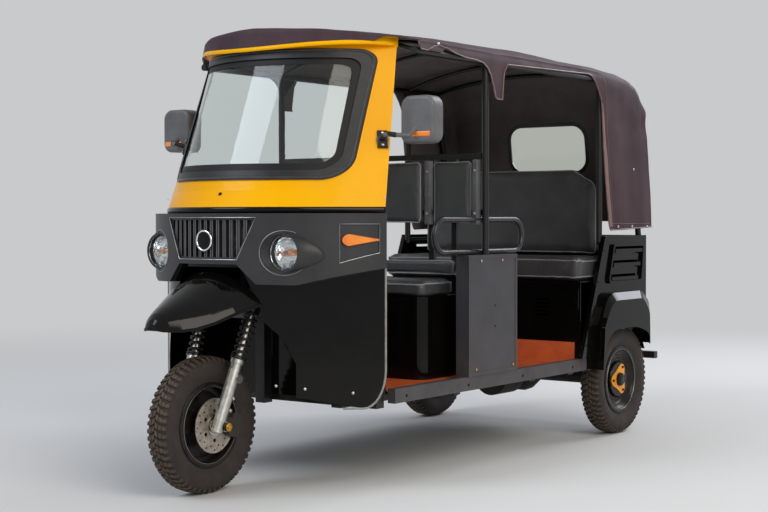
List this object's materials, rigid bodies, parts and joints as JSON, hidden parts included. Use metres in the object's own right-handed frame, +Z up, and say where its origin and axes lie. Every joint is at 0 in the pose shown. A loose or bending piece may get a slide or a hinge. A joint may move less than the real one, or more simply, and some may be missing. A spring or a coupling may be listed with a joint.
{
  "type": "auto rickshaw",
  "caption": "Three-wheeled open-sided auto rickshaw with a yellow windscreen surround, black nose and a soft canopy; steered front wheel and turning rear wheels.",
  "frame": {"origin": "on the ground under the middle of the vehicle's overall box", "axes": "+Z up, the front faces -Y, the vehicle's own left is +X"},
  "size_m": [1.47, 3.096, 1.905],
  "materials": {
    "paint_yellow": "gloss",
    "paint_black": "gloss",
    "frame_black": "satin",
    "charcoal_moulding": "textured",
    "charcoal_panel": "satin",
    "black_plastic": "matte",
    "grey_plastic": "satin",
    "clear_glass": "clear",
    "lamp_glass": "clear",
    "clear_vinyl": "clear",
    "rubber_black": "satin",
    "tyre_rubber": "matte",
    "wheel_black": "gloss",
    "fork_silver": "satin",
    "disc_steel": "satin",
    "cast_metal": "matte",
    "spring_steel": "satin",
    "seat_vinyl": "satin",
    "canopy_fabric": "woven",
    "mat_orange": "matte",
    "amber_lens": "clear",
    "red_lens": "clear",
    "mirror_silver": "polished"
  },
  "bodies": {
    "root": {"chassis_frame": "frame_black", "floor_pan": "frame_black", "floor_mat": "mat_orange", "sills": "charcoal_panel", "nose_shell": "paint_black", "lamp_panel": "charcoal_moulding", "grille": "black_plastic", "headlamps": "charcoal_moulding", "headlamp_lenses": "lamp_glass", "indicators": "amber_lens", "mudguard": "paint_black", "windscreen_surround": "paint_yellow", "windscreen_seal": "rubber_black", "windscreen_glass": "clear_glass", "toe_board": "paint_black", "dash_shelf": "black_plastic", "mirrors": "grey_plastic", "mirror_glass": "mirror_silver", "roof_frame": "frame_black", "canopy": "canopy_fabric", "rear_window": "clear_vinyl", "pillar_boxes": "charcoal_panel", "grab_loops": "frame_black", "seat_box": "paint_black", "seat_cushion": "seat_vinyl", "seat_back_pad": "seat_vinyl", "partition_frame": "frame_black", "partition_pads": "seat_vinyl", "bench_box": "paint_black", "bench_cushion": "seat_vinyl", "bench_back": "seat_vinyl", "rear_panel_left": "paint_black", "rear_panel_right": "paint_black", "tail_panel": "paint_black", "tail_lamps": "red_lens", "bumper": "frame_black", "rear_axle": "cast_metal", "drive_unit": "cast_metal", "leaf_springs": "spring_steel"},
    "steering": {"fork": "fork_silver", "fork_sleeves": "rubber_black", "front_axle": "spring_steel", "brake_caliper": "cast_metal", "handlebar": "black_plastic"},
    "front_wheel": {"tyre_front": "tyre_rubber", "rim_front": "wheel_black", "brake_disc": "disc_steel"},
    "rear_wheel_left": {"tyre_rear_left": "tyre_rubber", "rim_rear_left": "wheel_black"},
    "rear_wheel_right": {"tyre_rear_right": "tyre_rubber", "rim_rear_right": "wheel_black"},
    "hatch": {"bench_hatch": "paint_black"}
  },
  "joints": [
    {"name": "steering_turn", "type": "hinge", "parent": "root", "child": "steering", "pos_m": [0, -1.22727, 0.27], "axis": [0, 0.3518, 0.9361], "range_deg": [-38, 38]},
    {"name": "front_wheel_spin", "type": "hinge", "parent": "steering", "child": "front_wheel", "pos_m": [0, -1.27, 0.27], "axis": [1, 0, 0], "continuous": true},
    {"name": "rear_left_spin", "type": "hinge", "parent": "root", "child": "rear_wheel_left", "pos_m": [0.555, 1.14, 0.27], "axis": [1, 0, 0], "continuous": true},
    {"name": "rear_right_spin", "type": "hinge", "parent": "root", "child": "rear_wheel_right", "pos_m": [-0.555, 1.14, 0.27], "axis": [1, 0, 0], "continuous": true},
    {"name": "hatch_hinge", "type": "hinge", "parent": "root", "child": "hatch", "pos_m": [0, 0.724, 0.493], "axis": [1, 0, 0], "range_deg": [0, 85]}
  ]
}
